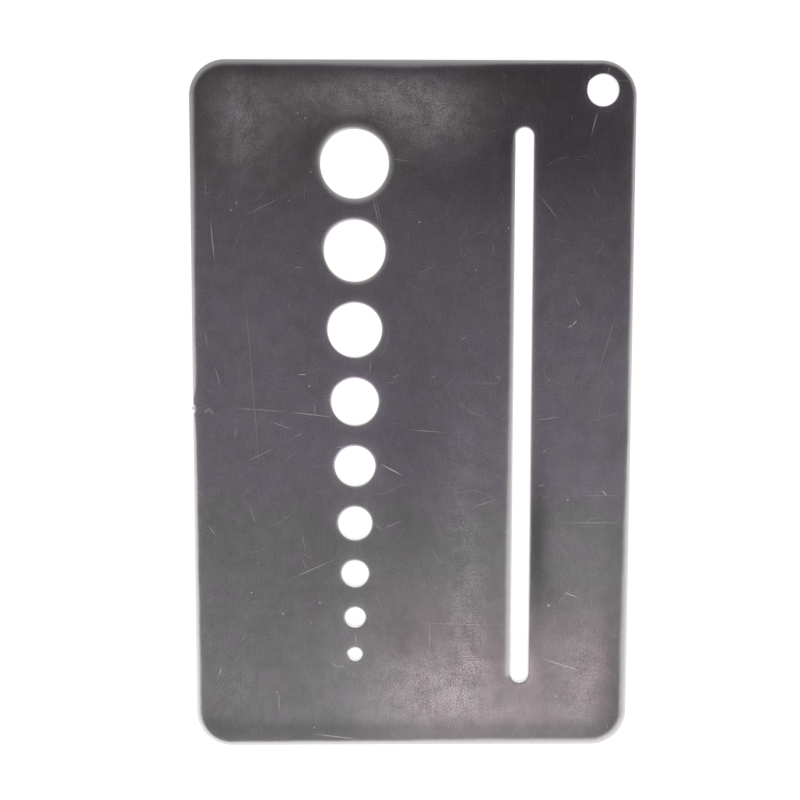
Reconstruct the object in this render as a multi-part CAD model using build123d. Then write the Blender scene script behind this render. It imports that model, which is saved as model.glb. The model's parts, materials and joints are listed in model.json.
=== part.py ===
from build123d import *

import os

# A screw size gauge: one flat steel card with nine graded holes, a long slot and a key ring hole.
# The card lies on the XY plane with +Z out of its face. The origin is the middle of its resting face,
# +Y runs along its length towards the largest hole, and +X points towards the slot.

# The card, in millimetres
card_width = 54.0
card_length = 85.0
card_thickness = 1.0
corner_radius = 4.4

# The tumbled outer edge, which rolls over further across the face than down the side
roll_across = 0.55
roll_down = 0.25
face_blend = 1.2
side_blend = 0.25

# The column of graded holes
hole_count = 9
smallest_hole = 1.8
hole_step = 0.82
column_from_left = 19.9
margin_above_holes = 8.23
margin_below_holes = 10.87

# The long slot, open from face to face
slot_width = 2.3
slot_from_right = 13.5
margin_past_slot = 8.0

# The key ring hole in the corner
ring_hole = 3.8
ring_from_right = 4.1
ring_from_top = 3.57

# The broken rims of every hole and of the slot
rim_break = 0.12

# The stub left on the long edge where the holding tab was broken off
tab_length = 1.4
tab_height = 0.25
tab_thickness = 0.5
tab_above_middle = 0.2

# How near two heights must be to count as the same
same_height = 0.001

# Places worked out from the sizes above
left, right = -card_width / 2, card_width / 2
top = card_length / 2
hole_sizes = [smallest_hole + step * hole_step for step in reversed(range(hole_count))]
column_span = card_length - margin_above_holes - margin_below_holes
web = (column_span - sum(hole_sizes)) / (hole_count - 1)


def hole_places():
    """The centre and diameter of each graded hole, largest first, with equal webs between the rims."""
    places = []
    upper_rim = top - margin_above_holes
    for size in hole_sizes:
        places.append((left + column_from_left, upper_rim - size / 2, size))
        upper_rim -= size + web
    return places


def blank():
    """The sheet itself: a rounded rectangle whose cut edge is rolled over on both faces."""
    sheet = extrude(RectangleRounded(card_width, card_length, corner_radius), card_thickness)
    down = min(roll_down, card_thickness / 4)
    for end in (0, -1):
        face = sheet.faces().sort_by(Axis.Z)[end]
        sheet = chamfer(face.edges(), roll_across, down, reference=face)
    flat_faces = sheet.faces().filter_by(Axis.Z)
    sheet = fillet(flat_faces.edges(), face_blend)
    shoulder = card_thickness / 2 - down
    side_edges = [
        edge for edge in sheet.edges()
        if abs(abs(edge.center().Z - card_thickness / 2) - shoulder) < same_height
    ]
    return fillet(side_edges, side_blend)


def tab_stub():
    """A low bow on the left edge, thinner than the sheet and rooted inside it."""
    middle = tab_above_middle
    root = left + roll_across
    bow = ThreePointArc(
        (left, middle - tab_length / 2),
        (left - tab_height, middle),
        (left, middle + tab_length / 2),
    )
    back = Polyline(
        (left, middle + tab_length / 2),
        (root, middle + tab_length / 2),
        (root, middle - tab_length / 2),
        (left, middle - tab_length / 2),
    )
    stub = extrude(make_face(bow + back), tab_thickness)
    return Pos(0, 0, (card_thickness - tab_thickness) / 2) * stub


def openings():
    """The sketch of everything cut through the sheet."""
    sketch = Sketch()
    for x, y, size in hole_places():
        sketch += Pos(x, y) * Circle(size / 2)
    sketch += Pos(right - ring_from_right, top - ring_from_top) * Circle(ring_hole / 2)
    slot_length = card_length - 2 * margin_past_slot
    sketch += Pos(right - slot_from_right, 0) * SlotOverall(slot_length, slot_width, rotation=90)
    return sketch


def gauge():
    """The finished card: the blank with its stub, then the openings with broken rims."""
    body = blank() + tab_stub()
    cut = body - extrude(openings(), card_thickness)
    rims = [
        edge
        for face in cut.faces().filter_by(Axis.Z)
        if min(abs(face.center().Z), abs(face.center().Z - card_thickness)) < same_height
        for wire in face.inner_wires()
        for edge in wire.edges()
    ]
    return chamfer(rims, rim_break)


def main():
    plate = gauge()
    plate.label = "gauge_plate"
    os.makedirs("parts", exist_ok=True)
    export_step(plate, "parts/gauge_plate.step")
    print("web between holes", round(web, 3))
    for x, y, size in hole_places():
        print("hole", round(size, 2), "at", round(x, 3), round(y, 3))


main()
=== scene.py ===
"""The looks of the screw size gauge, a flat tumbled steel card lying on a pale floor.

Sizes and places are in millimetres in the card's own frame, and become metres where a mesh or an object
is made. The card lies on the XY plane, +Y runs towards its largest hole and +X towards its slot.
"""

import json
import math

import bpy
import numpy as np
from mathutils.geometry import delaunay_2d_cdt
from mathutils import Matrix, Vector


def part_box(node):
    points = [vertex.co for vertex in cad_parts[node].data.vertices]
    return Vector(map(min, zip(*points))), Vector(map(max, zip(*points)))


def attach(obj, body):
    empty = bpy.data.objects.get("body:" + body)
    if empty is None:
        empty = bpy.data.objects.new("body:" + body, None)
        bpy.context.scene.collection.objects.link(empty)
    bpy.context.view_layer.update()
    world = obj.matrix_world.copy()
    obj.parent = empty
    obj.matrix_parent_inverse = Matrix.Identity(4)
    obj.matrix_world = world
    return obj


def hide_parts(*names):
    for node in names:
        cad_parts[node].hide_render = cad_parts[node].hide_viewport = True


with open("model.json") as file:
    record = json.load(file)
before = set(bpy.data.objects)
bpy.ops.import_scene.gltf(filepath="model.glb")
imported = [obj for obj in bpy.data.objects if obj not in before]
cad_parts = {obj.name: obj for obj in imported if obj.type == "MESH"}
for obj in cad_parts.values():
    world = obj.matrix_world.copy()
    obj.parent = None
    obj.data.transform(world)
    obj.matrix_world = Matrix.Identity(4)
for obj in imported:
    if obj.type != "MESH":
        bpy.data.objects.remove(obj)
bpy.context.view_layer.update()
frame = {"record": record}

metre = 0.001

# The card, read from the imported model
box_low, box_high = (np.array(corner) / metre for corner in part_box("gauge_plate"))
half_width, half_length, thickness = box_high
tab_height = -box_low[0] - half_width
mid_height = thickness / 2
corner_radius = 4.4

# The long slot
slot_width = 2.3
slot_from_right = 13.5
margin_past_slot = 8.0

# The stub of the holding tab on the left edge
tab_length = 1.4
tab_above_middle = 0.2

# The rolled rims: how far each reaches across the face and how far it falls towards the wall
card_roll, card_fall = 0.74, 0.3
slot_roll, slot_fall = 0.45, 0.2
hole_roll, large_hole_roll, hole_fall = 0.34, 1.05, 0.07
ring_roll, ring_fall = 0.14, 0.06

# How far the worn walls of the slot and of the graded holes stand out into the opening
slot_bulge, hole_bulge = 0.045, 0.03

# Flat rows inside each roll: how far they reach from the card's edge, the slot and each hole's roll
card_apron, slot_apron, hole_apron = 1.3, 1.15, 0.12
apron_rows = np.array([1, 0.6, 0.3])

# Mesh steps: over the face, and along straight edges, arcs and the tab stub
face_step = 0.55
straight_step = 0.4
arc_step = 0.25
tab_step = 0.06

# The stub's steps reach this far from its middle, and the plain edge's steps keep this far away
tab_reach, tab_clear = 1.2, 1.4

# Points round a hole, rows in a roll, how near the face's own points come to a rim, and how near two
# points or numbers count as the same
hole_points = 96
rim_rows = 10
rim_gap = 0.25
same_place = 1e-6

# The lower face reads every pattern from this much farther along, so its marks are its own
lower_face_shift = 230.0

# Where the cutter entered each hole: its direction in degrees, its depth and its reach in degrees
cutter_entries = {
    "gauge_hole_1": (124, 0.06, 16),
    "gauge_hole_2": (143, 0.05, 16),
    "gauge_hole_3": (140, 0.05, 16),
    "gauge_hole_4": (145, 0.04, 16),
    "gauge_hole_5": (124, 0.04, 18),
    "gauge_hole_6": (322, 0.03, 18),
    "gauge_hole_7": (125, 0.03, 20),
    "gauge_hole_8": (236, 0.04, 22),
    "gauge_hole_9": (163, 0.11, 26),
    "ring_hole": (148, 0.06, 14),
}


def smooth(low, high, value):
    """The smooth step 3 t^2 - 2 t^3, where t runs from 0 at low to 1 at high."""
    t = np.clip((value - low) / (high - low), 0, 1)
    return t * t * (3 - 2 * t)


def hump(value, middle, reach):
    """A bump exp(-t^2), 1 at the middle, where t counts reaches away from it."""
    return np.exp(-(((value - middle) / reach) ** 2))


def segments(half_x, half_y, radius):
    """The lengths and starts of a rounded rectangle's four sides and four arcs, from the right side on."""
    side_x, side_y = 2 * (half_x - radius), 2 * (half_y - radius)
    arc = radius * math.pi / 2
    lengths = np.array([side_y, arc, side_x, arc, side_y, arc, side_x, arc])
    return lengths, np.concatenate([[0], np.cumsum(lengths)])


def outline(half_x, half_y, radius, along):
    """Points and outward normals of a rounded rectangle, counter-clockwise, at distances along its edge.

    On side or arc k the normal stands at 90 (k // 2) degrees, plus distance / radius on an arc, and the
    point is the arc's centre + radius * normal, plus the distance run along a side.
    """
    lengths, starts = segments(half_x, half_y, radius)
    piece = np.clip(np.searchsorted(starts, along, side="right") - 1, 0, 7)
    run = along - starts[piece]
    on_arc = piece % 2 == 1
    angle = piece // 2 * math.pi / 2 + np.where(on_arc, run / radius, 0)
    normal = np.stack([np.cos(angle), np.sin(angle)], 1)
    onward = np.stack([-normal[:, 1], normal[:, 0]], 1)
    sign_x = np.array([1, 1, 1, -1, -1, -1, -1, 1])[piece]
    sign_y = np.array([-1, 1, 1, 1, 1, -1, -1, -1])[piece]
    centre = np.stack([sign_x * (half_x - radius), sign_y * (half_y - radius)], 1)
    return centre + radius * normal + np.where(on_arc, 0, run)[:, None] * onward, normal


def stations(half_x, half_y, radius, straight, arc):
    """Distances along a rounded rectangle's edge, evenly spread on each side and on each arc."""
    lengths, starts = segments(half_x, half_y, radius)
    spread = []
    for k, length in enumerate(lengths):
        step = arc if k % 2 else straight
        count = math.ceil(length / step - same_place)
        spread.append(starts[k] + length * np.arange(count) / max(count, 1))
    return np.concatenate(spread)


def rolled_rim():
    """A rim's section for a roll 1 wide and 1 deep, as rows of (distance in from the edge, fall).

    It is a quarter of an ellipse: at angle a, from 0 at the face to 90 degrees at the wall, the row is
    (1 - sin a, 1 - cos a).
    """
    angle = np.linspace(0, math.pi / 2, rim_rows)
    return 1 - np.sin(angle), 1 - np.cos(angle)


def band(points, inward, apron, across, down, bulge=0.0, bright=1.0, painted_sheen=0.0):
    """A rim carried along an edge: rows from the upper face round the side wall to the lower face.

    The first rows are flat, from the apron to the roll. A point of the roll is edge point + inward normal
    * across * d, at the height of the face less down * fall, and the lower half mirrors the upper. A bulge
    pushes the wall out of the steel, fully at the wall and less on the roll. Beside the points come how
    worn each one is, a wear colour that is also painted sheen, up to bright, and how much near-white
    painted highlight it carries, which is 1 along the wall, as a painted reflection of the floor, and up to
    its given peak on the roll.
    """
    per_point = np.zeros(len(points))
    across, down = across + per_point, down + per_point
    bright, painted_sheen = bright + per_point, painted_sheen + per_point
    d, fall = rolled_rim()
    flat_inset = across + (apron - across) * apron_rows[:, None]
    rolled_inset = across * d[:, None] - bulge * smooth(1, 0.1, d)[:, None]
    inset = np.concatenate([flat_inset, rolled_inset])
    d = np.concatenate([np.ones(len(apron_rows)), d])
    fall = np.concatenate([np.zeros(len(apron_rows)), fall])
    height = thickness - down * fall[:, None]

    inset = np.concatenate([inset, inset[::-1]])
    height = np.concatenate([height, thickness - height[::-1]])
    d = np.concatenate([d, d[::-1]])[:, None]
    flat = points + inset[..., None] * inward
    grid = np.concatenate([flat, height[..., None]], 2)
    # wear colour, which also stands for painted sheen on the rolls
    wear_and_sheen = smooth(0.97, 0.45, d) * bright
    # near-white painted highlight, full on the wall as a painted reflection of the pale floor
    painted_sheen_here = np.where(d == 0, 1, painted_sheen * smooth(1, 0.4, d))
    return grid, wear_and_sheen, painted_sheen_here


def card_edge():
    """The rolled outer edge, with the low bow of the tab stub on its left.

    The roll waves a little all the way round. It is narrower up the right side, wider low on the right
    and along the middle of the top, and narrow on both sides of the stub. The stub rises by its height
    times (1 - t^2)^5, where t runs from -1 to 1 along it.
    """
    along = stations(half_width, half_length, corner_radius, straight_step, arc_step)
    _, starts = segments(half_width, half_length, corner_radius)
    tab_along = starts[4] + half_length - corner_radius - tab_above_middle
    near_tab = tab_along + np.arange(-tab_reach, tab_reach, tab_step)
    along = np.sort(np.concatenate([along[abs(along - tab_along) > tab_clear], near_tab]))
    points, outward = outline(half_width, half_length, corner_radius, along)

    x, y = points.T
    upper, left_side = smooth(20, 38, y), smooth(-10, -24, x)
    uneven = 0.035 * np.sin(along * 0.31) + 0.03 * np.sin(along * 0.83 + 1) + 0.012 * np.sin(along * 2.7)
    across = card_roll + uneven - 0.14 * smooth(-16, -2, y) * smooth(56, 18, y) * smooth(10, 24, x)
    across += 0.32 * smooth(-8, -28, y) * smooth(-16, 18, x)
    across += upper * (0.12 * smooth(14, -4, x) - 0.12 * smooth(8, 16, x) + 0.3 * hump(x, -1, 9))
    across += left_side * (0.12 * smooth(-18, -26, y) - 0.17 * smooth(28, 8, y))

    past_tab = along - tab_along
    across -= 0.36 * hump(past_tab, -0.9, 1.3) + 0.25 * hump(past_tab, 1.2, 1.8)
    bow = np.clip(1 - (past_tab / (tab_length / 2)) ** 2, 0, None)
    across += 0.4 * bow ** 2
    # the stub carries a near-white painted highlight
    return band(points, -outward, card_apron, across, card_fall, tab_height * bow ** 5, painted_sheen=bow ** 0.5)


def slot_edge():
    """The slot's rim: its left side rolls wider, most low down, and its right side is narrow.

    The roll narrows round the upper end, where its wear colour and painted sheen dim, and the narrow lower
    end carries a near-white painted highlight.
    """
    half_x, half_y = slot_width / 2, half_length - margin_past_slot
    along = stations(half_x, half_y, half_x, straight_step, arc_step * 0.7)
    points, outward = outline(half_x, half_y, half_x, along[::-1])
    y = points[:, 1]
    lower = smooth(10, -30, y)
    lower_end = smooth(0, -0.8, outward[:, 1])
    left_side, right_side = smooth(-0.2, -1, outward[:, 0]), smooth(0.2, 1, outward[:, 0])

    across = slot_roll * (1 + left_side * (0.35 + 0.75 * lower) - right_side * (0.3 + 0.25 * lower))
    across -= 0.12 * left_side * smooth(-18, -28, y)
    across *= (0.3 + 0.7 * smooth(34.6, 31.5, y)) * (1 - 0.55 * lower_end)
    across += 0.02 * np.sin(y * 1.1) + 0.015 * np.sin(y * 2.9 + 2)
    down = slot_fall * (0.45 + left_side * (0.55 + 0.3 * lower)) * (1 - 0.4 * lower_end)
    bulge = slot_bulge * (1 + 0.5 * left_side * lower)
    # the wear colour, partly painted sheen, dims towards the upper end; the lower end gets the near-white
    # painted highlight
    bright = 0.2 + 0.8 * smooth(35, 18, y)
    points = points + [half_width - slot_from_right, 0]
    return band(points, outward, slot_apron, across, down, bulge, bright, lower_end)


def hole_edge(mount):
    """A round hole's rim. The edge is a circle, pushed out by a soft bump where the cutter came in.

    A graded hole's wear colour, partly painted sheen, is lightest at the bottom, where a near-white painted
    highlight runs too, and the largest ones roll deeper at the bottom and left.
    """
    radius = mount["dims"]["r_mm"]
    centre = np.array(mount["pos_m"][:2]) / metre
    along = 2 * math.pi * radius * np.arange(hole_points) / hole_points
    points, outward = outline(radius, radius, radius, along[::-1])
    direction, depth, spread = cutter_entries[mount["name"]]
    angle = np.degrees(np.arctan2(outward[:, 1], outward[:, 0]))
    off = (angle - direction + 180) % 360 - 180
    points = points + outward * (depth * hump(off, 0, spread))[:, None] + centre
    across = roll_of_hole(mount)
    if mount["name"] == "ring_hole":
        return band(points, outward, across + hole_apron, across, ring_fall, bright=0.3)
    apron = across + hole_apron
    to_left, to_bottom = smooth(0, -1, outward).T
    to_right, to_top = smooth(0, 1, outward).T
    large = how_large(radius)
    across = across * (1 - 0.3 * large * to_right) * (1 - 0.3 * (1 - large) * to_top)
    down = hole_fall * (1 + large * (1 + 0.9 * to_bottom + 0.8 * to_left))
    # wear colour with painted sheen, lightest at the bottom, and a near-white painted highlight along the
    # bottom
    bright = np.clip(0.58 + 0.35 * large - 0.42 * outward[:, 1], 0, 1)
    painted_sheen = (0.95 - 0.35 * large) * to_bottom
    return band(points, outward, apron, across, down, hole_bulge, bright, painted_sheen)


def how_large(radius):
    """Goes from 0 for the smaller holes to nearly 1 for the largest, which are rolled wide."""
    return smooth(3.3, 4.4, radius)


def roll_of_hole(mount):
    """The width of a round hole's rim, sharp on the ring hole and wide on the largest graded ones."""
    if mount["name"] == "ring_hole":
        return ring_roll
    radius = mount["dims"]["r_mm"]
    return hole_roll * smooth(-0.5, 2.5, radius) + (large_hole_roll - hole_roll) * how_large(radius)


def inside_distance(xy, centre, half_x, half_y, radius):
    """How far each point lies inside a rounded rectangle's edge, and negative outside it."""
    q = abs(xy - centre) - [half_x - radius, half_y - radius]
    return radius - np.hypot(*np.maximum(q, 0).T) - np.minimum(q.max(1), 0)


bores = [mount for mount in frame["record"]["mounts"] if mount["kind"] == "bore"]


def edge_distances(xy):
    """Distances of points on the face from the card's edge, from the slot and from each round hole."""
    slot_centre = [half_width - slot_from_right, 0]
    half_slot = slot_width / 2
    to_card = inside_distance(xy, [0, 0], half_width, half_length, corner_radius)
    to_slot = -inside_distance(xy, slot_centre, half_slot, half_length - margin_past_slot, half_slot)
    to_holes = [
        np.hypot(*(xy - np.array(m["pos_m"][:2]) / metre).T) - m["dims"]["r_mm"] for m in bores
    ]
    return to_card, to_slot, np.array(to_holes)


def sag(xy):
    """How far the tumbled face lies below a true plane: a * exp(-d / reach) near each edge, plus waves."""
    to_card, to_slot, to_holes = edge_distances(xy)
    x, y = xy.T
    waves = np.sin(x * 0.41 + y * 0.13 + 1) + np.sin(y * 0.37 - x * 0.19) + np.sin(x * 0.23 + y * 0.52 + 2)
    return (
        0.09 * np.exp(-np.maximum(to_card, 0) / 1.3)
        + 0.035 * np.exp(-np.maximum(to_slot, 0) / 1.2)
        + 0.01 * np.exp(-np.maximum(to_holes, 0) / 0.8).sum(0)
        + 0.004 * (waves + 3)
    )


def face_points(clear):
    """Points in rows step sqrt(3) / 2 apart, every other row half a step aside, and clear of every rim."""
    row_step = face_step * math.sqrt(3) / 2
    rows = np.arange(-half_length, half_length, row_step)
    across = np.arange(-half_width - face_step, half_width, face_step)
    x = across[None, :] + face_step / 2 * (np.arange(len(rows)) % 2)[:, None]
    xy = np.stack([x.ravel(), np.broadcast_to(rows[:, None], x.shape).ravel()], 1)
    to_card, to_slot, to_holes = edge_distances(xy)
    to_rims = np.minimum(to_card - card_apron, to_slot - slot_apron)
    return xy[np.minimum(to_rims, (to_holes - clear[:, None]).min(0)) > rim_gap]


# Soft patches of the face, placed one by one from the photograph: middle x and y, half sizes, turn in
# degrees, how much lighter or darker, and how hazy
face_patches = np.array([
    (-20.3, 35.5, 4.2, 6.5, 0, 0.42, 0.9),
    (-7.5, 38.0, 7.5, 2.6, 0, 0.55, 0.8),
    (-2.0, 41.0, 26.0, 1.2, 0, -0.2, 0.0),
    (2.0, 36.5, 7.5, 4.5, -20, 0.7, 1.0),
    (-12.0, 33.0, 2.2, 4.5, -30, -0.2, 0.0),
    (-18.0, 29.5, 5.0, 6.5, 0, -0.14, 0.2),
    (-21.0, 41.5, 7.0, 2.0, 0, -0.2, 0.0),
    (-25.0, 34.0, 2.6, 8.0, 0, -0.22, 0.0),
    (-26.2, 38.5, 1.5, 4.0, 0, -0.14, 0.0),
    (-18.8, 37.5, 1.4, 6.0, 0, -0.15, 0.0),
    (-21.3, 39.0, 1.4, 2.0, 0, 0.12, 0.2),
    (8.5, 34.0, 3.5, 3.8, 0, -0.2, 0.0),
    (-5.0, 35.6, 2.5, 1.3, 0, -0.16, 0.0),
    (25.6, 20.0, 2.2, 13.0, 0, -0.11, 0.0),
    (5.5, 18.5, 5.5, 4.0, 0, 0.08, 0.1),
    (4.5, 27.5, 8.0, 2.4, -6, -0.15, 0.0),
    (16.0, 32.0, 12.0, 5.0, 0, -0.28, 0.0),
    (19.0, 40.0, 10.0, 5.0, 0, -0.2, 0.0),
    (-19.5, 9.0, 6.0, 10.0, 0, 0.11, 0.1),
    (17.0, 11.0, 9.0, 10.0, 0, 0.1, 0.1),
    (0.0, -6.0, 4.0, 12.0, 0, -0.12, 0.0),
    (-11.0, -16.0, 3.5, 7.0, 0, -0.1, 0.0),
    (15.4, -17.0, 1.5, 9.5, 0, -0.5, 0.0),
    (6.5, -16.0, 2.2, 15.0, 0, 0.1, 0.4),
    (7.3, -29.5, 2.0, 7.5, 0, 0.13, 0.4),
    (10.4, -31.0, 1.1, 6.5, 0, -0.13, 0.0),
    (-1.5, -29.0, 3.0, 3.5, 0, -0.14, 0.0),
    (-1.5, -14.0, 2.5, 9.0, 0, -0.06, 0.0),
    (3.0, -34.8, 8.0, 4.6, 0, 0.38, 0.7),
    (21.5, -33.5, 2.6, 5.0, 0, 0.2, 0.7),
    (18.2, -22.5, 1.8, 3.0, 0, -0.12, 0.2),
    (18.2, -34.5, 1.8, 3.0, 0, -0.15, 0.1),
    (8.0, -38.2, 15.0, 1.3, 0, 0.08, 0.2),
    (25.4, -33.0, 2.0, 9.0, 0, -0.17, 0.0),
    (26.5, -38.0, 3.0, 5.0, 0, -0.2, 0.0),
    (-15.0, -30.0, 6.0, 13.0, 0, -0.08, 0.0),
    (-20.0, -41.0, 10.0, 4.0, 0, -0.1, 0.0),
    (-25.0, -40.0, 4.0, 3.0, 0, -0.13, 0.0),
    (-9.0, -40.5, 5.0, 2.0, 0, -0.14, 0.0),
    (-22.5, -35.0, 2.5, 3.5, 0, 0.05, 0.3),
])


def face_looks(points):
    """How light and how hazy the steel is at each point, as (tone, haze).

    A patch gives exp(-u^2 - v^2), where (u, v) is the place from its middle, turned to lie along it and
    divided by its half sizes. Light patches and haze fade out near every edge, painted shade darkens a
    border along the lower right and bottom edges, and a painted highlight lightens the steel close to
    many edges, by exp(-d / reach).
    The lower face has the same patches with its ends swapped.
    """
    to_card, to_slot, to_holes = edge_distances(points[:, :2])
    inside = np.minimum(np.minimum(to_card, to_slot), to_holes.min(0))
    clear = smooth(0.7, 2.2, inside)[:, None]
    x, y = points[:, 0], points[:, 1] * np.where(points[:, 2] < mid_height, -1, 1)

    turn = np.radians(face_patches[:, 4])
    off_x, off_y = x[:, None] - face_patches[:, 0], y[:, None] - face_patches[:, 1]
    u = (off_x * np.cos(turn) + off_y * np.sin(turn)) / face_patches[:, 2]
    v = (off_y * np.cos(turn) - off_x * np.sin(turn)) / face_patches[:, 3]
    patch = np.exp(-u * u - v * v)
    lighter, hazy = face_patches[:, 5], face_patches[:, 6]
    shift = (patch * lighter * np.where(lighter > 0, clear, 1)).sum(1)

    # painted shade along the lower right and bottom edges
    painted_edge_shade = 0.17 * smooth(8, -6, y) * smooth(0, 24, x) * smooth(4.5, 1.1, to_card)
    painted_edge_shade += 0.23 * smooth(-38, -40.5, y) * smooth(4.2, 2.2, to_card)
    # painted highlights close to the openings, along the left edge and round the lower slot
    to_openings = np.minimum(to_slot, to_holes.min(0))
    glow = (0.3 + 0.5 * smooth(-25, 10, y)) * np.exp(-np.maximum(to_openings, 0) / 0.4)
    glow += 0.45 * smooth(-10, -24, x) * smooth(30, 15, y) * np.exp(-np.maximum(to_card, 0) / 0.6)
    lower_slot = smooth(-29, -33, y) * (0.25 + 0.3 * smooth(12, 15, x))
    glow += lower_slot * np.exp(-np.maximum(to_slot, 0) / 0.8)
    return (1 + shift) * (1 - painted_edge_shade) * (1 + glow), np.clip((patch * hazy * clear).sum(1), 0, 1)


def card_mesh():
    """The whole closed skin: a rim round every edge, and both faces filled with triangles between them."""
    rims = [card_edge(), slot_edge()] + [hole_edge(mount) for mount in bores]
    clear = np.array([roll_of_hole(mount) + hole_apron for mount in bores])
    inner = face_points(clear)

    vertices, wear_and_sheen, painted_sheen, quads, upper, lower, borders = [], [], [], [], [], [], []
    base = 0
    for grid, wear_and_sheen_here, painted_sheen_here in rims:
        rows, count = grid.shape[:2]
        index = base + np.arange(rows * count).reshape(rows, count)
        onward = np.roll(index, -1, axis=1)
        quads.append(np.stack([index[:-1], index[1:], onward[1:], onward[:-1]], 2).reshape(-1, 4))
        upper.append(index[0])
        lower.append(index[-1])
        borders.append(np.stack([index[0], onward[0]], 1))
        vertices.append(grid.reshape(-1, 3))
        wear_and_sheen.append(wear_and_sheen_here.ravel())
        painted_sheen.append(painted_sheen_here.ravel())
        base += rows * count
    for height, ring in ((thickness, upper), (0.0, lower)):
        vertices.append(np.column_stack([inner, np.full(len(inner), height)]))
        wear_and_sheen.append(np.zeros(len(inner)))
        painted_sheen.append(np.zeros(len(inner)))
        ring.append(base + np.arange(len(inner)))
        base += len(inner)
    vertices, wear_and_sheen, painted_sheen = np.concatenate(vertices), np.concatenate(wear_and_sheen), np.concatenate(painted_sheen)
    upper, lower = np.concatenate(upper), np.concatenate(lower)

    # The upper face is filled once, and the lower face is its mirror image
    place = np.zeros(base, int)
    place[upper] = np.arange(len(upper))
    flat = vertices[upper, :2]
    limits = place[np.concatenate(borders)]
    triangles = np.array(delaunay_2d_cdt(flat.tolist(), limits.tolist(), [], 0, same_place)[2])

    # Three points of one rim, taken in the rim's own order, turn left only where they enclose steel
    first, second, third = flat[np.sort(triangles, axis=1)].transpose(1, 0, 2)
    side, other = (second - first).T, (third - first).T
    turns_left = side[0] * other[1] - side[1] * other[0] > 0
    rim_of = np.concatenate([np.full(len(ring), k) for k, ring in enumerate(borders)])
    rim_of = np.concatenate([rim_of, np.full(len(inner), -1)])[triangles]
    one_rim = (np.ptp(rim_of, axis=1) == 0) & (rim_of[:, 0] >= 0)
    triangles = triangles[~one_rim | turns_left]
    filled = np.concatenate([upper[triangles], lower[triangles][:, ::-1]])

    # Every point then settles towards mid height as the face sags
    rise = vertices[:, 2] - mid_height
    vertices[:, 2] = mid_height + rise * (1 - sag(vertices[:, :2]) / mid_height)

    mesh = bpy.data.meshes.new("gauge_plate_skin")
    mesh.from_pydata(vertices * metre, [], np.concatenate(quads).tolist() + filled.tolist())
    # the points carry the rims' wear colour with painted sheen, their near-white painted highlight, and the
    # face's tone with painted shade and highlights
    tone_and_painted_light, haze = face_looks(vertices)
    for name, values in (("wear_and_sheen", wear_and_sheen), ("painted_sheen", painted_sheen), ("tone_and_painted_light", tone_and_painted_light), ("haze", haze)):
        mesh.attributes.new(name, "FLOAT", "POINT").data.foreach_set("value", values)
    mesh.shade_smooth()
    mesh.validate()
    return mesh


class Nodes:
    """Adds nodes to one tree. A socket given as an input is linked, and anything else becomes its value."""

    def __init__(self, owner):
        owner.use_nodes = True
        self.tree = owner.node_tree
        self.tree.nodes.clear()

    def add(self, kind, inputs=None, **settings):
        node = self.tree.nodes.new("ShaderNode" + kind)
        for name, value in settings.items():
            setattr(node, name, value)
        for name, value in (inputs or {}).items():
            if isinstance(value, bpy.types.NodeSocket):
                self.tree.links.new(value, node.inputs[name])
            else:
                node.inputs[name].default_value = value
        return node

    def math(self, operation, *values):
        return self.add("Math", dict(enumerate(values)), operation=operation).outputs[0]

    def vector(self, operation, *values):
        return self.add("VectorMath", dict(enumerate(values)), operation=operation).outputs[0]

    def attribute(self, name):
        """A number stored on the points of the mesh."""
        return self.add("Attribute", attribute_name=name).outputs["Fac"]

    def ramp(self, value, low, high, at_low=0.0, at_high=1.0):
        """Goes smoothly from at_low, where the value is low, to at_high, where it is high."""
        inputs = {"From Min": low, "From Max": high, "To Min": at_low, "To Max": at_high, "Value": value}
        return self.add("MapRange", inputs, interpolation_type="SMOOTHSTEP").outputs[0]

    def blend(self, factor, first, second):
        """A number from first, where the factor is 0, to second, where it is 1."""
        return self.add("Mix", {0: factor, 2: first, 3: second}).outputs[0]

    def mix(self, factor, first, second, blend_type="MIX"):
        """A colour from first, where the factor is 0, to second, where it is 1."""
        inputs = {0: factor, 6: first, 7: second}
        return self.add("Mix", inputs, data_type="RGBA", blend_type=blend_type).outputs[2]

    def noise(self, place, size, detail=2.0, roughness=0.5):
        """Noise from 0 to 1 in the plane, with patches about the given size across."""
        inputs = {"Vector": place, "Scale": 1 / size, "Detail": detail, "Roughness": roughness}
        return self.add("TexNoise", inputs, noise_dimensions="2D")

    def metal(self, base, roughness, normal):
        """A bare metal surface, put out as the material."""
        inputs = {"Base Color": base, "Metallic": 1.0, "Roughness": roughness, "Normal": normal}
        surface = self.add("BsdfPrincipled", inputs)
        self.add("OutputMaterial", {"Surface": surface.outputs[0]})
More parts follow.
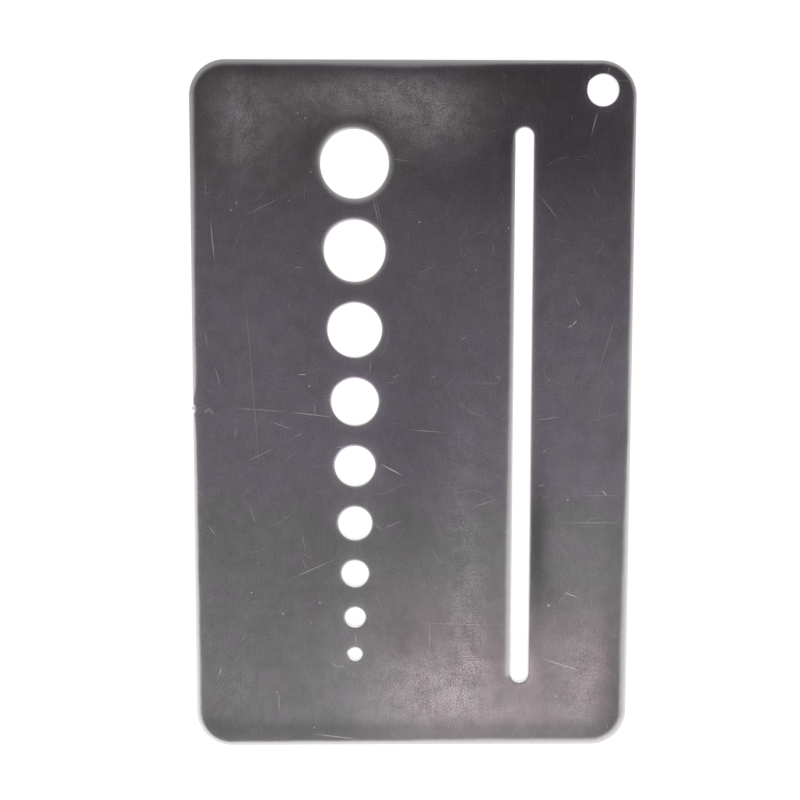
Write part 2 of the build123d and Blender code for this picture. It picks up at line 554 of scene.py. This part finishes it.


# Scratches placed one by one from the photograph: start x and y, end x and y, half width and strength
scratches = [
    (-24.6, 23.6, -24.1, 17.9, 0.07, 0.8),
    (-25.1, 28.4, -25.1, 25.8, 0.06, 0.4),
    (-21.0, 23.6, -15.4, 26.3, 0.06, 0.4),
    (-4.9, 26.2, -4.1, 22.6, 0.06, 0.6),
    (-4.6, 26.2, -3.7, 22.4, 0.06, 0.5),
    (-2.7, 30.7, -0.3, 30.4, 0.06, 0.5),
    (23.6, 41.7, 23.4, 40.9, 0.06, 0.6),
    (22.3, 36.6, 21.5, 33.4, 0.07, 0.7),
    (15.2, 26.5, 17.8, 23.3, 0.06, 0.5),
    (-20.6, 16.1, -18.8, -8.4, 0.06, 0.3),
    (-14.1, 4.5, -13.0, 4.5, 0.08, 0.8),
    (-22.3, 0.4, -15.3, -0.1, 0.06, 0.5),
    (-15.3, -0.1, -9.5, -0.8, 0.07, 0.7),
    (-9.5, -0.8, -5.2, -1.3, 0.06, 0.6),
    (-0.6, -2.3, 4.4, -2.7, 0.06, 0.5),
    (-21.7, -2.1, -21.9, -3.3, 0.06, 0.6),
    (-25.5, -0.1, -25.1, 0.2, 0.3, 0.3),
    (-25.0, 0.3, -24.6, -0.3, 0.24, 0.28),
    (-17.7, -1.2, -14.8, -2.3, 0.06, 0.5),
    (-14.8, -3.3, -13.4, -2.7, 0.06, 0.5),
    (-25.4, 10.0, -25.2, 8.0, 0.06, 0.5),
    (-24.3, 5.8, -23.5, 2.6, 0.06, 0.5),
    (-12.1, 0.8, -12.0, -0.5, 0.06, 0.6),
    (-5.1, 6.2, -5.3, 4.7, 0.06, 0.5),
    (-2.7, 4.0, -1.5, 4.6, 0.06, 0.5),
    (-3.1, 3.5, -2.1, 3.5, 0.06, 0.5),
    (-4.1, -6.5, -1.1, -8.1, 0.08, 1.0),
    (-9.4, -4.5, -8.5, -4.5, 0.06, 0.6),
    (-20.5, -6.3, -17.0, -4.6, 0.06, 0.5),
    (-14.7, 17.6, -13.4, 17.6, 0.06, 0.5),
    (19.0, 10.3, 19.6, 10.6, 0.08, 0.8),
    (19.6, 10.6, 20.1, 11.2, 0.08, 0.9),
    (19.8, 14.2, 20.5, 12.8, 0.06, 0.5),
    (5.9, 8.8, 6.7, 9.2, 0.06, 0.5),
    (2.3, 4.1, 2.8, 4.4, 0.06, 0.5),
    (10.3, 4.4, 10.8, 3.9, 0.06, 0.5),
    (15.0, -1.2, 18.4, -0.7, 0.06, 0.5),
    (25.1, 12.5, 22.6, 3.9, 0.06, 0.3),
    (23.5, -9.9, 24.2, -10.6, 0.08, 1.0),
    (20.4, -10.6, 26.4, -10.6, 0.06, 0.3),
    (18.3, -14.0, 26.4, -14.0, 0.06, 0.5),
    (15.6, -9.4, 16.4, -9.2, 0.06, 0.6),
    (7.3, -12.1, 10.7, -11.0, 0.06, 0.5),
    (-25.4, -14.2, -24.3, -15.7, 0.06, 0.5),
    (-20.1, -11.8, -19.5, -14.2, 0.06, 0.5),
    (-15.4, -21.2, -9.2, -18.4, 0.07, 0.6),
    (-13.8, -15.2, -13.2, -17.5, 0.06, 0.4),
    (-23.9, -32.3, -24.2, -33.5, 0.07, 0.8),
    (-16.8, -35.4, -16.6, -38.4, 0.06, 0.6),
    (-12.5, -41.0, -6.4, -41.8, 0.07, 0.8),
    (-10.1, -31.8, -9.3, -32.4, 0.06, 0.7),
    (-9.3, -32.4, -8.5, -32.2, 0.06, 0.8),
    (-7.1, -28.0, -7.0, -29.3, 0.06, 0.7),
    (-4.8, -14.1, -3.8, -14.8, 0.06, 0.5),
    (-3.8, -14.8, -1.0, -13.6, 0.06, 0.5),
    (18.9, -22.8, 20.8, -23.5, 0.08, 1.0),
    (16.0, -31.2, 21.7, -33.1, 0.08, 1.0),
    (2.3, -26.7, 2.1, -31.4, 0.06, 0.5),
    (1.3, -26.7, 11.8, -27.1, 0.06, 0.4),
]

# Pits and bright specks placed one by one from the photograph: x, y and radius, all of one strength
pit_strength = 0.8
pits = [
    (-13.9, 36.1, 0.11),
    (-13.0, 35.5, 0.14),
    (-12.4, 29.1, 0.11),
    (-21.4, 25.4, 0.13),
    (-22.1, 24.5, 0.13),
    (-15.1, 25.7, 0.1),
    (0.8, 23.1, 0.14),
    (19.3, -11.1, 0.14),
    (16.3, -5.0, 0.11),
    (6.4, -14.0, 0.11),
    (-20.0, -22.8, 0.14),
    (-16.1, -25.5, 0.15),
    (-11.5, -24.1, 0.14),
    (-12.6, -26.7, 0.1),
    (-17.0, -35.5, 0.13),
    (-12.3, -40.2, 0.11),
    (17.1, -24.5, 0.21),
    (18.1, -36.2, 0.17),
    (11.6, 22.4, 0.11),
    (7.7, 17.3, 0.11),
    (-12.7, 3.1, 0.14),
]


def marks(nodes, place):
    """The largest of many soft ellipses, each 1 at its middle and 0 at its rim, on the upper face only.

    A mark is 2 (1 - |v|), up to 1, where v is the place measured from the mark's middle, turned to lie
    along it and divided by its half length, half width and half depth.
    """
    half_depth = 0.3
    specks = [(x, y, x, y, radius, pit_strength) for x, y, radius in pits]
    total = 0.0
    for x0, y0, x1, y1, half, strength in scratches + specks:
        soft = nodes.add("TexGradient", {"Vector": place}, gradient_type="SPHERICAL")
        spot = soft.texture_mapping
        spot.vector_type = "TEXTURE"
        spot.translation = ((x0 + x1) / 2, (y0 + y1) / 2, thickness)
        spot.rotation = (0, 0, math.atan2(y1 - y0, x1 - x0))
        spot.scale = (math.hypot(x1 - x0, y1 - y0) / 2 + half, half, half_depth)
        even = nodes.add("Math", {0: soft.outputs[1], 1: 2.0}, operation="MULTIPLY", use_clamp=True)
        total = nodes.math("MAXIMUM", total, nodes.math("MULTIPLY", even.outputs[0], strength))
    return total


def hairlines(nodes, place, turn, width, length):
    """Fine streaks: noise in the plane, turned by some degrees and stretched along one direction."""
    laid = nodes.add(
        "Mapping",
        {"Vector": place, "Rotation": (0, 0, math.radians(turn)), "Scale": (width, length, 1)},
        vector_type="TEXTURE",
    )
    return nodes.noise(laid.outputs[0], 1.0, detail=3.0, roughness=0.6).outputs[0]


def stray_scratches(nodes, place, spacing, length, width, bend):
    """One bent scratch in each cell of a random net, at its own angle, length, bend and strength.

    Measured from the cell's middle and turned by the cell's angle, a scratch is where |y + bend x^2| is
    under its width and |x| is under its length.
    """
    cells = nodes.add("TexVoronoi", {"Vector": place, "Scale": 1 / spacing}, voronoi_dimensions="2D")
    chance = nodes.add("SeparateColor", {0: cells.outputs["Color"]}).outputs
    offset = nodes.vector("SUBTRACT", place, cells.outputs["Position"])
    angle = nodes.math("MULTIPLY", chance[0], 2 * math.pi)
    turned = nodes.add("VectorRotate", {"Vector": offset, "Angle": angle}, rotation_type="Z_AXIS")
    x, y, _ = nodes.add("SeparateXYZ", {0: turned.outputs[0]}).outputs
    curve = nodes.math("MULTIPLY", nodes.math("MULTIPLY", x, x), bend)
    curve = nodes.math("MULTIPLY", curve, nodes.math("SUBTRACT", chance[1], 0.5))
    off_line = nodes.math("ABSOLUTE", nodes.math("ADD", y, curve))
    reach = nodes.math("MULTIPLY", chance[2], length)
    ahead = nodes.math("SUBTRACT", nodes.math("ABSOLUTE", x), reach)
    line = nodes.math("MULTIPLY", nodes.ramp(off_line, 0, width, 1, 0), nodes.ramp(ahead, -0.5, 0, 1, 0))
    return nodes.math("MULTIPLY", line, nodes.math("POWER", chance[1], 2.0))


def satin_steel():
    """Tumbled steel: grey with a violet cast, hairlines, hazy patches, scratches, pits, worn rims whose
    colour is also painted sheen, near-white painted highlights on walls and rims, and painted shade and
    highlights near the edges.
    """
    material = bpy.data.materials.new("satin_steel")
    nodes = Nodes(material)
    here = nodes.add("TexCoord").outputs["Object"]
    place = nodes.vector("SCALE", here)
    place.node.inputs["Scale"].default_value = 1 / metre
    tone_and_painted_light, haze, wear_and_sheen_here, painted_sheen_here = (nodes.attribute(name) for name in ("tone_and_painted_light", "haze", "wear_and_sheen", "painted_sheen"))

    # The two faces carry different marks, and every pattern wanders a little from its straight course
    height = nodes.add("SeparateXYZ", {0: place}).outputs[2]
    below = nodes.math("LESS_THAN", height, mid_height)
    farther = nodes.math("MULTIPLY", below, lower_face_shift)
    shift = nodes.add("CombineXYZ", {0: farther, 1: below, 2: 0.0})
    face_place = nodes.vector("ADD", place, shift.outputs[0])
    drift = nodes.vector("SUBTRACT", nodes.noise(face_place, 14.0).outputs["Color"], (0.5, 0.5, 0.5))
    swirled = nodes.vector("ADD", face_place, nodes.vector("MULTIPLY", drift, (3.0, 3.0, 0.0)))

    # Hairlines: upright ones nearly everywhere, slanting and level ones in patches, over a fine grain that
    # shows most where the steel is hazy, above all low on the card
    upright = hairlines(nodes, swirled, 4, 0.13, 2.6)
    slanting = hairlines(nodes, swirled, 32, 0.12, 1.8)
    leaning = hairlines(nodes, swirled, -47, 0.12, 1.6)
    level = hairlines(nodes, swirled, 84, 0.12, 2.2)
    patch = nodes.noise(face_place, 9.0, detail=1.0).outputs["Color"]
    patch_red, patch_green, _ = nodes.add("SeparateColor", {0: patch}).outputs
    grain = nodes.noise(face_place, 0.17, detail=2.0).outputs[0]
    crossing = nodes.blend(nodes.ramp(patch_red, 0.4, 0.6), slanting, leaning)
    crossing = nodes.blend(nodes.ramp(patch_green, 0.45, 0.62), crossing, level)
    lines = nodes.blend(0.5, upright, crossing)
    texture = nodes.blend(nodes.math("MULTIPLY_ADD", haze, 0.2, 0.5), lines, grain)
    x, y, _ = nodes.add("SeparateXYZ", {0: swirled}).outputs
    sandy = nodes.ramp(y, -2, -26, 0.14, 0.48)
    texture_range = nodes.math("MULTIPLY_ADD", haze, sandy, 0.1)
    fine = nodes.math("MULTIPLY_ADD", nodes.ramp(texture, 0.3, 0.7, -1, 1), texture_range, 1.0)

    # Blotches of a millimetre or two, strong where the steel is hazy
    blotch = nodes.noise(swirled, 2.2, detail=5.0, roughness=0.72).outputs[0]
    blotch_range = nodes.math("MULTIPLY_ADD", haze, 0.16, 0.06)
    coarse = nodes.math("MULTIPLY_ADD", nodes.ramp(blotch, 0.3, 0.7, -1, 1), blotch_range, 1.0)
    # the tone brings painted shade and highlights near the edges into the colour
    light = nodes.math("MULTIPLY", tone_and_painted_light, nodes.math("MULTIPLY", fine, coarse))

    # The cast: warm grey at the upper left, violet over the middle, at the upper right and along the top
    # edge, plain grey below and pink at the lower right, all a little uneven
    cloud = nodes.noise(swirled, 5.0, detail=5.0, roughness=0.65).outputs["Color"]
    cloud_red, cloud_green, _ = nodes.add("SeparateColor", {0: cloud}).outputs
    violet = nodes.math("MULTIPLY", nodes.ramp(y, 36, 20), nodes.ramp(y, -16, -7))
    slant = nodes.math("MULTIPLY_ADD", y, -1.6, x)
    upper_right = nodes.math("MULTIPLY", nodes.ramp(slant, -52, -42), nodes.ramp(y, 18, 26))
    violet = nodes.math("MAXIMUM", violet, upper_right)
    violet = nodes.math("MAXIMUM", violet, nodes.ramp(y, 39.5, 41.5, 0, 0.8))
    violet = nodes.math("ADD", violet, nodes.ramp(cloud_red, 0.35, 0.65, -0.35, 0.35))
    pink = nodes.math("MULTIPLY", nodes.ramp(y, -18, -32), nodes.ramp(x, -10, 4))
    pink = nodes.math("MULTIPLY", pink, nodes.ramp(x, 26.5, 23.5))
    pink = nodes.math("MULTIPLY", pink, nodes.ramp(y, -42, -37, 0.4, 1))
    pink = nodes.math("MULTIPLY", pink, nodes.ramp(cloud_green, 0.3, 0.6, 0.65, 1))
    grey = nodes.mix(nodes.ramp(y, 0, 26), (0.277, 0.27, 0.273, 1), (0.292, 0.27, 0.277, 1))
    steel = nodes.mix(violet, grey, (0.303, 0.27, 0.317, 1))
    steel = nodes.mix(pink, steel, (0.316, 0.267, 0.281, 1))
    steel = nodes.mix(1.0, steel, light, "MULTIPLY")

    # Scratches, pits, the worn rims, whose colour is also painted sheen, and the near-white painted
    # highlight on walls and rims
    long_strays = stray_scratches(nodes, face_place, 4.5, 2.2, 0.06, 0.25)
    elsewhere = nodes.vector("ADD", face_place, (31, 17, 0))
    short_strays = stray_scratches(nodes, elsewhere, 2.3, 1.1, 0.05, 0.5)
    strays = nodes.math("MAXIMUM", long_strays, short_strays)
    scored = nodes.math("MAXIMUM", marks(nodes, place), nodes.math("MULTIPLY", strays, 0.4))
    steel = nodes.mix(nodes.math("MULTIPLY", scored, 0.85), steel, (0.66, 0.63, 0.65, 1))
    # the wear colour here is partly painted sheen
    wear_and_sheen_patchy = nodes.math("MULTIPLY", wear_and_sheen_here, nodes.ramp(texture, 0.2, 0.7, 0.75, 1.0))
    steel = nodes.mix(wear_and_sheen_patchy, steel, (0.55, 0.53, 0.535, 1))
    # near-white painted highlight on walls and rims, in place of reflected light
    steel = nodes.mix(nodes.math("POWER", painted_sheen_here, 3.0), steel, (0.85, 0.83, 0.83, 1))

    roughness = nodes.ramp(texture, 0.3, 0.7, 0.19, 0.25)
    roughness = nodes.math("MULTIPLY_ADD", haze, 0.05, roughness)
    roughness = nodes.math("MULTIPLY_ADD", scored, 0.25, roughness)
    bump = nodes.add("Bump", {"Height": texture, "Strength": 0.35, "Distance": 0.004 * metre})
    nodes.metal(steel, roughness, bump.outputs[0])
    return material


def card():
    """The finished card, which stands for the model's one solid."""
    piece = bpy.data.objects.new("gauge_plate_skin", card_mesh())
    bpy.context.scene.collection.objects.link(piece)
    piece.data.materials.append(satin_steel())
    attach(piece, "root")
    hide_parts("gauge_plate")


def floor():
    """A square floor just under the card.

    To the camera and in reflections it glows nearly white, and it is plain matt to all other light.
    """
    half, drop = 1500.0, 0.02
    mesh = bpy.data.meshes.new("floor")
    corners = half * np.array([[-1, -1, 0], [1, -1, 0], [1, 1, 0], [-1, 1, 0]]) - [0, 0, drop]
    mesh.from_pydata(corners * metre, [], [[0, 1, 2, 3]])
    floor_piece = bpy.data.objects.new("floor", mesh)
    bpy.context.scene.collection.objects.link(floor_piece)

    material = bpy.data.materials.new("floor")
    nodes = Nodes(material)
    path = nodes.add("LightPath").outputs
    seen = nodes.math("MAXIMUM", path["Is Camera Ray"], path["Is Glossy Ray"])
    seen = nodes.math("MAXIMUM", seen, path["Is Transmission Ray"])
    matt = nodes.add("BsdfDiffuse", {"Color": (0.8, 0.8, 0.8, 1)})
    faint = nodes.add("BsdfDiffuse", {"Color": (0.25, 0.25, 0.25, 1)})
    glow = nodes.add("Emission", {"Color": (1, 1, 1, 1), "Strength": 0.88})
    pale = nodes.add("AddShader", {0: faint.outputs[0], 1: glow.outputs[0]})
    surface = nodes.add("MixShader", {0: seen, 1: matt.outputs[0], 2: pale.outputs[0]})
    nodes.add("OutputMaterial", {"Surface": surface.outputs[0]})
    mesh.materials.append(material)


# Soft patches of light overhead: how far each leans along x and y, its reach both ways and what it adds
room_patches = [
    (0.09, -0.355, 0.20, 0.13, 0.89),
    (0.10, -0.42, 0.34, 0.30, 0.24),
    (0.33, -0.25, 0.24, 0.34, 0.46),
    (0.16, 0.13, 0.22, 0.24, -0.19),
]


def studio():
    """The room as the steel sees it: dim overhead, paler in front and all round low down.

    The camera itself sees plain white. Directions are unit vectors, so x and y say how far a ray leans.
    Each soft patch is a ball stretched so tall that only its x and y matter.
    """
    tall = 9
    world = bpy.data.worlds.new("studio")
    bpy.context.scene.world = world
    nodes = Nodes(world)
    way = nodes.add("TexCoord").outputs["Generated"]
    x, y, _ = nodes.add("SeparateXYZ", {0: way}).outputs

    overhead = nodes.ramp(y, 0.1, -0.6, 0.22, 0.68)
    for lean_x, lean_y, reach_x, reach_y, glow in room_patches:
        soft = nodes.add("TexGradient", {"Vector": way}, gradient_type="SPHERICAL")
        spot = soft.texture_mapping
        spot.vector_type = "TEXTURE"
        spot.translation = (lean_x, lean_y, 1)
        spot.scale = (reach_x, reach_y, tall)
        overhead = nodes.math("MULTIPLY_ADD", nodes.ramp(soft.outputs[1], 0, 1), glow, overhead)
    flat = nodes.add("CombineXYZ", {0: x, 1: y, 2: 0.0})
    aside = nodes.add("VectorMath", {0: flat.outputs[0], 1: (0.02, -0.1, 0.0)}, operation="DISTANCE")
    low_light = nodes.ramp(y, 0.15, -0.3, 0.6, 1.6)
    room = nodes.blend(nodes.ramp(aside.outputs["Value"], 0.18, 0.95), overhead, low_light)

    seen = nodes.add("LightPath").outputs["Is Camera Ray"]
    colour = nodes.mix(seen, room, (1, 1, 1, 1))
    background = nodes.add("Background", {"Color": colour})
    nodes.add("OutputWorld", {"Surface": background.outputs[0]})


def camera():
    """The photograph's view: from above, a little towards the top of the card."""
    place = (-3.986, 21.492, 181.481)
    turn = (-6.363, -0.764, 0.0927)
    data = bpy.data.cameras.new("camera")
    data.sensor_width = 36.0
    data.lens = 66.42
    data.clip_start, data.clip_end = 0.01, 10.0
    piece = bpy.data.objects.new("camera", data)
    piece.location = [value * metre for value in place]
    piece.rotation_euler = [math.radians(value) for value in turn]
    bpy.context.scene.collection.objects.link(piece)
    bpy.context.scene.camera = piece


camera()
studio()
floor()
card()

bpy.context.scene.view_settings.view_transform = "Standard"
